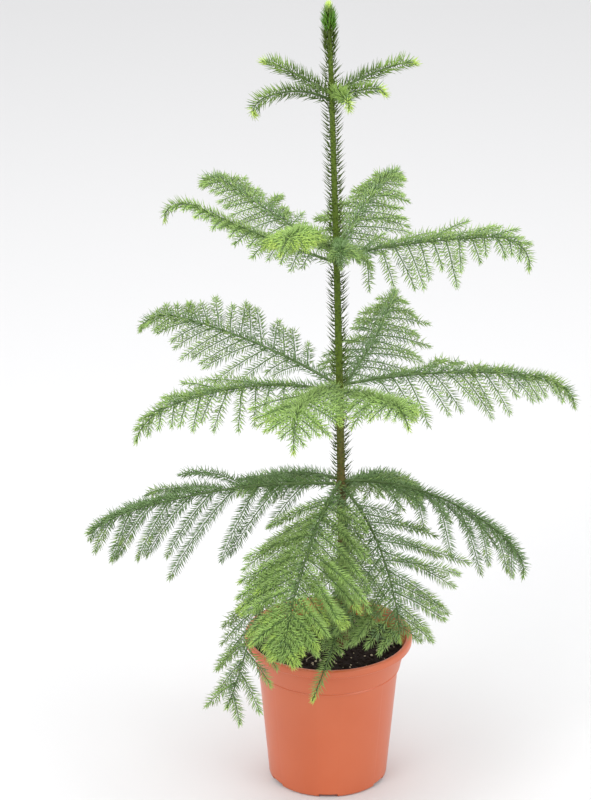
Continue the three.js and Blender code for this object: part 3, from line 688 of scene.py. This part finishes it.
def twigs_of(whorl, number, seed):
    """All twigs of a bough by its rule: their points, their flanks in the frond's plane, how long and how
    close the needles on them are and how flat they lie, and their green step, from how young the twigs are
    and from their bough's painted light and shade. The gaps between twigs change evenly along the bough; a
    twig has the longest of the tried shares that keeps clear."""
    bough, path = whorl["boughs"][number], bough_path(whorl, number)
    length = bough["length"]
    first, last = bough["gaps"]
    closing = (last - first) / length
    order = np.arange(MOST_TWIGS)
    along = first / closing * (np.exp(closing * order) - 1)
    t = (whorl["bare"] + FIRST_TWIG + along) / length
    order, t = order[t < LAST_TWIG], t[t < LAST_TWIG]
    heading, left = heading_at(bough, t), left_at(bough, t)
    up = np.cross(heading, left)
    side = np.where(order % 2, -1, 1)
    spread = np.radians(bough["spread"] + TWIG_SPREAD[0] + (TWIG_SPREAD[1] - TWIG_SPREAD[0]) * t
                        + (2 * chance(seed, order, FOR_SPREAD) - 1) * TWIG_JITTER)
    slant = np.radians(side * bough["roll"] + bough["lift"] - whorl["twig_droop"]
                       + (2 * chance(seed, order, FOR_SLANT) - 1) * TWIG_JITTER)
    direction = (heading * np.cos(spread)[:, None] + left * (side * np.sin(spread) * np.cos(slant))[:, None]
                 + up * (np.sin(spread) * np.sin(slant))[:, None])
    outline = (1 - t * t) ** bough["taper"] * np.minimum(1, bough["base"] + BASE_GAIN * t)
    full = bough["reach"] * outline * (LEAST_SHARE + SHARE_RANGE * chance(seed, order, FOR_LENGTH))
    roots = on_path(path, t)
    normals, margins = fences_of(whorl, bough)
    lengths = np.zeros_like(full)
    for share in TRIED_SHARES:
        tried = twig_points(roots, direction, full * share, bough["sag"], TRIED_POINTS)
        from_axis = (tried - trunk_point(tried[..., 2])) * (1, 1, 0)
        kept = (from_axis @ normals.T > margins).all((1, 2))
        over_pot = np.hypot(tried[..., 0], tried[..., 1]) < LIP_RADIUS + POT_CLEARANCE
        kept &= (tried[..., 2] > np.where(over_pot, POT_TOP + POT_CLEARANCE, POT_CLEARANCE)).all(1)
        kept &= (lengths == 0) & (full * share > SHORTEST_TWIG)
        lengths = np.where(kept, full * share, lengths)
    grown = lengths > 0
    points = twig_points(roots[grown], direction[grown], lengths[grown], bough["sag"],
                         np.linspace(0, 1, TWIG_STEPS + 1))
    flank = unit(heading - direction * (heading * direction).sum(-1, keepdims=True)) * -side[:, None]
    needle_length = np.full(grown.sum(), NEEDLE_LENGTHS[whorl["name"]])
    closeness = bough["dense"] * (NEEDLES_AT_FOOT + (2 - 2 * NEEDLES_AT_FOOT) * t[grown])
    flatness = np.full(grown.sum(), bough["flat"])
    youth = bough["youth"] + bough["ripe"] * t[grown]
    return points, flank[grown], needle_length, closeness, flatness, youth


# Twig skin: green like the boughs', finer and a little fresher.
twig_skin, tree, skin, where = start_material("green_twig_skin", {"Roughness": 0.6})
flecks = add_node(tree, "ShaderNodeTexNoise", {"Scale": 1 / (14 * MM), "Detail": 3.0},
                  {"Vector": (where, "Object")})
tint = add_node(tree, "ShaderNodeMix", {FIRST: linear("#46602f"), SECOND: linear("#668546")},
                {FACTOR: (flecks, "Fac")}, data_type="RGBA")
tree.links.new(tint.outputs[MIXED], skin.inputs["Base Color"])

grown = [twigs_of(whorl, number, WHORL_SEED * level + number + 1)
         for level, whorl in enumerate(leafy) for number in range(len(whorl["boughs"]))]
twig_paths, twig_flanks, twig_needle_lengths, twig_closeness, twig_flatness, twig_youths_and_light = (
    np.concatenate(part) for part in zip(*grown))
twig_lefts = np.repeat(twig_flanks[:, None], TWIG_STEPS + 1, 1)
twig_taper = np.linspace(TWIG_ROOT_RADIUS, TWIG_TIP_RADIUS, TWIG_STEPS + 1)
twig_radii = np.repeat(twig_taper[None], len(twig_paths), 0)
twig_mesh, twig_faces = tubes(twig_paths, twig_lefts, twig_radii, TWIG_SIDES)
frond_nodes = [name.replace("_bough_", "_foliage_") for name in bough_nodes]
add_piece("twigs", twig_mesh, twig_faces, twig_skin, frond_nodes)


# The needles: incurved awls about a centimetre long, set in spirals all round every shoot and twig.
# Old ones are a dull grey-green and each twig's end is fresh lime; the fronds that face the light take paler
# greens as painted light, and the fronds in shadow darker greens as painted shade.
# They are about one and a half times as wide as real ones, so that fewer fill a spray.
NEEDLE_WIDTH = 1.5
NEEDLE_ELBOW = 0.25
NEEDLE_SIZES = (0.85, 1.12)
NEEDLE_SEAT = 0.7
NEEDLE_SIDES = np.array([(0, 2, 1), (0, 3, 2), (0, 1, 3), (1, 2, 4), (2, 3, 4), (3, 1, 4)])
NEEDLE_POINTS = 5
GOLDEN_ANGLE = math.radians(137.5)
# A needle's stray from its turn round the shoot, and the turn from one twig to the next, in radians.
TURN_STRAY = 0.25
TURN_BETWEEN_TWIGS = 1.7
LEAVE_STRAY = 6
BUD_ANGLE = 0.35
BUD_LENGTH = 0.55
BUD_WIDTH = 0.8
SPRAY_LENGTH = 9
SPRAYS_A_TWIG = 101
SPRAY_MIX = 0.3
SPRAY_SEED = 3
FOR_FRESHNESS = 1
# How needles grow: past the bare foot, so many a millimetre, with their length and the angle they leave at.
TWIG_NEEDLES = dict(bare=1.5, leave=78, bend=0.26)
BOUGH_NEEDLES = dict(per_mm=1.5, length=12.5, leave=70, lift=0.3, flat=0.1, end=20, tip_gain=0.55)
SHOOT_NEEDLES = dict(bare=4.0, per_mm=2.1, length=15.5, leave=78, lift=0.4, end=20, ripening=2.6,
                     tip_gain=6.0, breadth=1.7)
TRUNK_NEEDLES = dict(per_mm=1.4, length=16.0, leave=80, bend=0.45, breadth=1.7)
LEADER_NEEDLES = dict(per_mm=4.4, length=15.0, leave=66, bend=0.5, crowding=0.6, end=16, ripening=2.6,
                      tip_gain=12.0, breadth=1.8)
BOUGH_BARE_SHARE = 0.2
TRUNK_YOUTH = -12.0
LEADER_YOUTH = -10.3
NEEDLES_BELOW_WHORLS = 60
TRUNK_NEEDLES_END = 8
TRUNK_NEEDLE_ROWS = 160
LEADER_NEEDLES_START = 12
LEADER_NEEDLE_ROWS = 60
# The greens by age and by painted light and shade: first the trunk's, the leader's and this season's
# shoots', then from the oldest and most shaded sprays to the freshest and best lit tips. A spray has the
# green whose two steps of freshness and painted light it lies between.
GREENS = ["#4a5d1a", "#52801c", "#5b7630", "#7f9d48", "#5f7f43", "#77945f", "#8aa65c", "#96b567", "#a2c46b",
          "#b0cf66", "#c0db6c"]
GREEN_STEPS = [-9, -5, -3, -1, -0.3, 0.06, 0.24, 0.42, 0.6, 0.8]
PIECE_NEEDLES = 32000


def needle_spindles(root, ahead, out, length, width, leave, bend, lift):
    """Needles as three-sided spindles: they leave at their angle to the shoot and widen to the elbow, then
    go on bent in by another angle and up by the lift, and narrow to a point."""
    def towards(angle):
        return ahead * np.cos(angle)[:, None] + out * np.sin(angle)[:, None]
    elbow = root + towards(leave) * length[:, None] * NEEDLE_ELBOW
    tip = elbow + unit(towards(leave - bend) + (0, 0, lift)) * length[:, None] * (1 - NEEDLE_ELBOW)
    flank = np.cross(ahead, out)
    upper = np.cross(towards(leave - bend / 2), flank)
    turn = np.radians([90, 210, 330])[:, None]
    ring = flank[:, None] * np.cos(turn) + upper[:, None] * np.sin(turn)
    ring = elbow[:, None] + ring * (0.5 * width)[:, None, None]
    return np.concatenate([root[:, None], ring, tip[:, None]], 1)


def grow_needles(paths, lefts, radii, youth, bare, per_mm, length, leave, bend=0.3, lift=0.0, flat=0.0,
                 crowding=0.9, end=14, ripening=0.2, tip_gain=0.16, breadth=NEEDLE_WIDTH):
    """Needles on shoots, and each one's green step, from how fresh it is and from its shoot's painted light
    and
    shade: evenly by count along each path and closer at its end by the crowding, each a golden angle further
    round. They leave at one angle and lose a share of it by their bend; flat draws them to the two flanks.
    Over the last millimetres, the end, they shorten and close to a bud. Sprays turn fresher by the ripening
    along the shoot, and by the tip gain at its end."""
    whole = np.linalg.norm(np.diff(paths, axis=1), axis=2).sum(1)
    count = np.maximum(2, ((whole - bare) * per_mm).astype(int))
    which = np.repeat(np.arange(len(paths)), count)
    number = np.arange(count.sum()) - np.repeat(np.cumsum(count) - count, count)
    share = ((number + 0.5) / count[which]) ** crowding
    along = bare + (whole[which] - bare) * share
    place = along / whole[which] * (paths.shape[1] - 1)
    low = np.clip(place.astype(int), 0, paths.shape[1] - 2)
    part = (place - low)[:, None]
    point = paths[which, low] * (1 - part) + paths[which, low + 1] * part
    ahead = unit(paths[which, low + 1] - paths[which, low])
    left = unit(lefts[which, low] - ahead * (lefts[which, low] * ahead).sum(-1, keepdims=True))
    up = np.cross(ahead, left)
    turn = number * GOLDEN_ANGLE + rng.normal(0, TURN_STRAY, len(which)) + which * TURN_BETWEEN_TWIGS
    turn = turn - np.broadcast_to(flat, len(paths))[which] * np.sin(2 * turn)
    out = left * np.cos(turn)[:, None] + up * np.sin(turn)[:, None]
    to_end = np.clip((whole[which] - along) / end, 0, 1)
    angle = np.radians(leave + rng.normal(0, LEAVE_STRAY, len(which)))
    angle = angle * (BUD_ANGLE + (1 - BUD_ANGLE) * to_end)
    size = np.broadcast_to(length, len(paths))[which] * rng.uniform(*NEEDLE_SIZES, len(which))
    size = size * (BUD_LENGTH + (1 - BUD_LENGTH) * to_end)
    width = breadth * (BUD_WIDTH + (1 - BUD_WIDTH) * to_end)
    root = point + out * (radii[which, low] * NEEDLE_SEAT)[:, None]
    points = needle_spindles(root, ahead, out, size, width, angle, angle * bend, lift)
    spray = which * SPRAYS_A_TWIG + (along / SPRAY_LENGTH).astype(int)
    mixed = SPRAY_MIX * (chance(SPRAY_SEED, spray, FOR_FRESHNESS) - 0.5)
    return points, youth[which] + tip_gain * (1 - to_end) + ripening * share + mixed


def grow_up_trunk(low, high, rows, youth, **manner):
    """Needles on the trunk's middle line between two heights."""
    z = np.linspace(low, high, rows)
    path, radius = trunk_point(z)[None], trunk_radius(z)[None]
    lefts = np.broadcast_to(TRUNK_LEFT, path.shape)
    return grow_needles(path, lefts, radius, np.array([youth]), bare=0.0, **manner)


# On the twigs, then on the boughs past their bare feet and on the top whorl's shoots, where they stand up.
needles = [grow_needles(twig_paths, twig_lefts, twig_radii, twig_youths_and_light, per_mm=twig_closeness,
                        length=twig_needle_lengths, flat=twig_flatness, **TWIG_NEEDLES)]
for whorl in WHORLS:
    bare = BOUGH_BARE_SHARE * whorl["bare"]
    manner = SHOOT_NEEDLES if whorl["name"] == "top" else dict(BOUGH_NEEDLES, bare=bare)
    for number, bough in enumerate(whorl["boughs"]):
        t = np.linspace(0, 1, FINE_STEPS + 1)
        path, lefts = on_path(bough_path(whorl, number), t)[None], left_at(bough, t)[None]
        radius, youth = limb_radius(whorl, t)[None], np.array([bough["youth"]])
        needles.append(grow_needles(path, lefts, radius, youth, **manner))

# On the trunk, darkest of all, sparse and curved in, and on the leader, where they close round the bud.
needles.append(grow_up_trunk(WHORL_HEIGHTS["lowest"] - NEEDLES_BELOW_WHORLS, TRUNK_TOP - TRUNK_NEEDLES_END,
                             TRUNK_NEEDLE_ROWS, TRUNK_YOUTH, **TRUNK_NEEDLES))
needles.append(grow_up_trunk(TRUNK_TOP - LEADER_NEEDLES_START, LEADER_TOP,
                             LEADER_NEEDLE_ROWS, LEADER_YOUTH, **LEADER_NEEDLES))

needle_points = np.concatenate([points for points, _ in needles])
needle_kind = np.digitize(np.concatenate([fresh for _, fresh in needles]), GREEN_STEPS)
top_nodes = [f"top_shoot_{i + 1}" for i in range(len(WHORLS[-1]["boughs"]))] + ["leader_tuft"]
for kind, colour in enumerate(GREENS):
    # Needle skin: waxy and half matt, a plain colour for each age of spray, with bloom in patches.
    finish = {"Base Color": linear(colour), "Specular IOR Level": 0.4}
    needle_skin, tree, skin, where = start_material(f"needle_skin_{kind}", finish)
    bloom = add_node(tree, "ShaderNodeTexNoise", {"Scale": 1 / (12 * MM)}, {"Vector": (where, "Object")})
    gloss = add_node(tree, "ShaderNodeMapRange", {"To Min": 0.42, "To Max": 0.68}, {"Value": (bloom, "Fac")})
    tree.links.new(gloss.outputs["Result"], skin.inputs["Roughness"])
    of_kind = needle_points[needle_kind == kind]
    for part, first in enumerate(range(0, len(of_kind), PIECE_NEEDLES)):
        several = of_kind[first:first + PIECE_NEEDLES]
        sides = NEEDLE_SIDES[None] + NEEDLE_POINTS * np.arange(len(several))[:, None, None]
        add_piece(f"needles_{kind}_{part + 1}", several.reshape(-1, 3), [sides.reshape(-1, 3)],
                  needle_skin, frond_nodes + top_nodes)


# The stage, in metres: a plain pale floor of matt paper that reaches out of sight, soft light from all
# round with three wide lamps, and the camera at the viewing angle.
FLOOR_HALF = 40
FLOOR_LEVEL = -0.0002
LIGHT_AIM = np.array([0.0, 0.0, 0.45])
# Each lamp's place, its diameter and its power in watts.
LAMPS = {
    "key_light": ((-1.6, -2.2, 3.0), 1.6, 60.0),
    "fill_light": ((2.2, -1.6, 2.2), 1.8, 32.0),
    "top_light": ((0.0, 0.8, 3.4), 2.4, 45.0),
}
CAMERA_PLACE = (-0.0408, -4.1728, 2.3186)
# How far the camera looks down, in radians.
CAMERA_PITCH = 0.4094
FOCAL_LENGTH_PIXELS = 3760
IMAGE_HEIGHT_PIXELS = 800
SENSOR_MM = 36

floor_mesh = bpy.data.meshes.new("floor")
floor_mesh.from_pydata([(x * FLOOR_HALF, y * FLOOR_HALF, FLOOR_LEVEL)
                        for x, y in ((-1, -1), (1, -1), (1, 1), (-1, 1))], [], [(0, 1, 2, 3)])
paper = bpy.data.materials.new("pale_paper")
paper.use_nodes = True
paper_skin = paper.node_tree.nodes["Principled BSDF"]
paper_skin.inputs["Base Color"].default_value = linear("#d4d4d5")
paper_skin.inputs["Roughness"].default_value = 0.9
floor_mesh.materials.append(paper)
floor = bpy.data.objects.new("floor", floor_mesh)
bpy.context.scene.collection.objects.link(floor)

world = bpy.data.worlds.new("soft_room")
world.use_nodes = True
world.node_tree.nodes["Background"].inputs["Color"].default_value = (1, 1, 1, 1)
world.node_tree.nodes["Background"].inputs["Strength"].default_value = 0.95
bpy.context.scene.world = world

for name, (place, size, power) in LAMPS.items():
    lamp = bpy.data.lights.new(name, "AREA")
    lamp.shape = "DISK"
    lamp.size = size
    lamp.energy = power
    light = bpy.data.objects.new(name, lamp)
    light.location = place
    aim = LIGHT_AIM - np.array(place)
    tilt = math.atan2(math.hypot(aim[0], aim[1]), -aim[2])
    light.rotation_euler = (tilt, 0, math.atan2(aim[1], aim[0]) - math.pi / 2)
    bpy.context.scene.collection.objects.link(light)

camera_lens = bpy.data.cameras.new("camera")
camera_lens.sensor_width = SENSOR_MM
camera_lens.lens = FOCAL_LENGTH_PIXELS / IMAGE_HEIGHT_PIXELS * SENSOR_MM
camera = bpy.data.objects.new("camera", camera_lens)
camera.location = CAMERA_PLACE
camera.rotation_euler = (math.pi / 2 - CAMERA_PITCH, 0, 0)
bpy.context.scene.collection.objects.link(camera)
bpy.context.scene.camera = camera
bpy.context.scene.view_settings.view_transform = "Standard"

bpy.context.view_layer.update()
